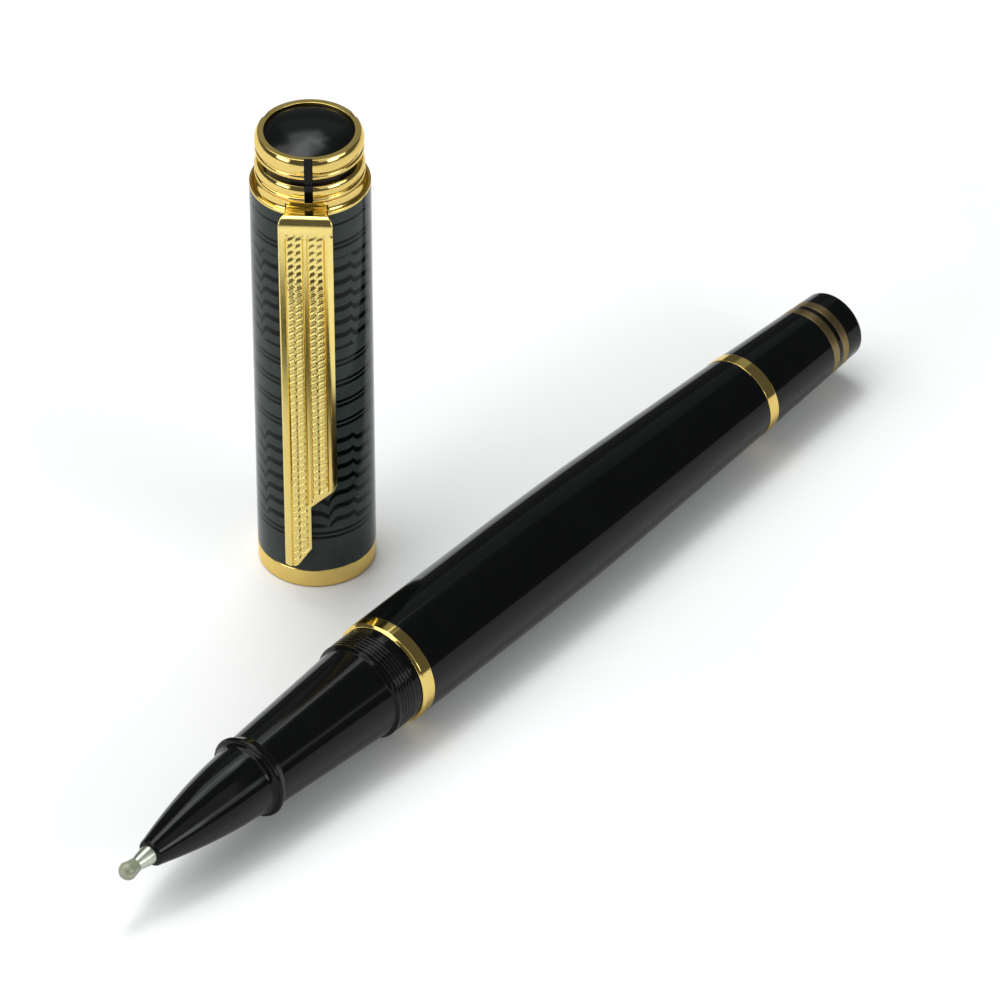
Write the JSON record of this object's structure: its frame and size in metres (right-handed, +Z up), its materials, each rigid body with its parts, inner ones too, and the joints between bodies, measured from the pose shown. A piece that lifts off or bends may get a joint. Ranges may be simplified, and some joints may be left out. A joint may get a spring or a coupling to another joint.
{
  "type": "rollerball pen",
  "caption": "Black and gold rollerball pen lying uncapped, with its patterned cap and pocket clip standing on its mouth beside it.",
  "frame": {"origin": "centre of the whole part's bounding box in X and Y, on the surface that the pen lies and the cap stands on", "axes": "+X along the pen's axis from its writing tip to its tail, +Z up along the standing cap's axis, +Y from the pen towards the cap"},
  "size_m": [0.1212, 0.0364, 0.058],
  "materials": {
    "black_lacquer": "gloss",
    "black_plastic": "gloss",
    "patterned_lacquer": "gloss, combed two-tone pattern under clear lacquer",
    "gold_plate": "polished gold plate",
    "antique_gold": "satin",
    "turned_brass": "machined",
    "spring_steel": "drawn",
    "refill_steel": "satin",
    "nickel_silver": "polished",
    "carbide": "polished",
    "clear_resin": "translucent, greenish",
    "white_plastic": "moulded",
    "dark_plastic": "moulded",
    "ink_fibre": "ink-soaked fibre"
  },
  "bodies": {
    "barrel": {"barrel_shell": "black_lacquer", "centre_ring": "gold_plate", "barrel_bush": "turned_brass", "rear_ring": "gold_plate", "tail_shell": "black_lacquer", "tail_band_one": "antique_gold", "tail_band_two": "antique_gold", "refill_spring": "spring_steel"},
    "refill": {"refill_tube": "refill_steel", "refill_end_plug": "white_plastic", "ink_reservoir": "ink_fibre", "feed_rod": "ink_fibre", "point_holder": "white_plastic", "refill_point": "nickel_silver"},
    "section": {"grip_section": "black_plastic", "section_insert": "turned_brass", "nose_cone": "black_plastic"},
    "writing_ball": {"writing_ball": "carbide"},
    "tip_bead": {"tip_bead": "clear_resin"},
    "cap": {"cap_tube": "patterned_lacquer", "cap_lip_ring": "gold_plate", "cap_liner": "dark_plastic", "inner_cap": "dark_plastic", "cap_bulkhead": "turned_brass", "cap_collar": "gold_plate", "finial_lower_ring": "gold_plate", "finial_core": "black_plastic", "finial_bezel": "gold_plate", "finial_jewel": "black_plastic", "slot_inlays": "black_plastic", "finial_screw": "spring_steel", "clip_tang": "gold_plate"},
    "clip": {"clip_blade": "gold_plate"}
  },
  "joints": [
    {"name": "refill_slide", "type": "slide", "parent": "barrel", "child": "refill", "axis": [-1, 0, 0], "range_m": [0, 0.006], "deforming": ["refill_spring"]},
    {"name": "section_spin", "type": "hinge", "parent": "refill", "child": "section", "pos_m": [-0.02885, -0.01211, 0.00606], "axis": [-1, 0, 0], "range_deg": [0, 2881]},
    {"name": "ball_spin", "type": "hinge", "parent": "refill", "child": "writing_ball", "pos_m": [-0.0597, -0.01211, 0.00606], "axis": [0, 1, 0], "continuous": true},
    {"name": "bead_pull", "type": "slide", "parent": "refill", "child": "tip_bead", "axis": [-1, 0, 0], "range_m": [0, 0.004]},
    {"name": "cap_lift", "type": "slide", "parent": "barrel", "child": "cap", "axis": [0, 0, 1], "range_m": [0, 0.045]},
    {"name": "clip_flex", "type": "hinge", "parent": "cap", "child": "clip", "pos_m": [-0.00702, 0.00748, 0.05145], "axis": [-0.5948, 0.8039, 0], "range_deg": [0, 5], "stiffness_Nm_per_rad": 0.6}
  ],
  "couplings": [
    {"joint": "section_spin", "follows": "refill_slide", "rad_per_m": 8377.6}
  ]
}
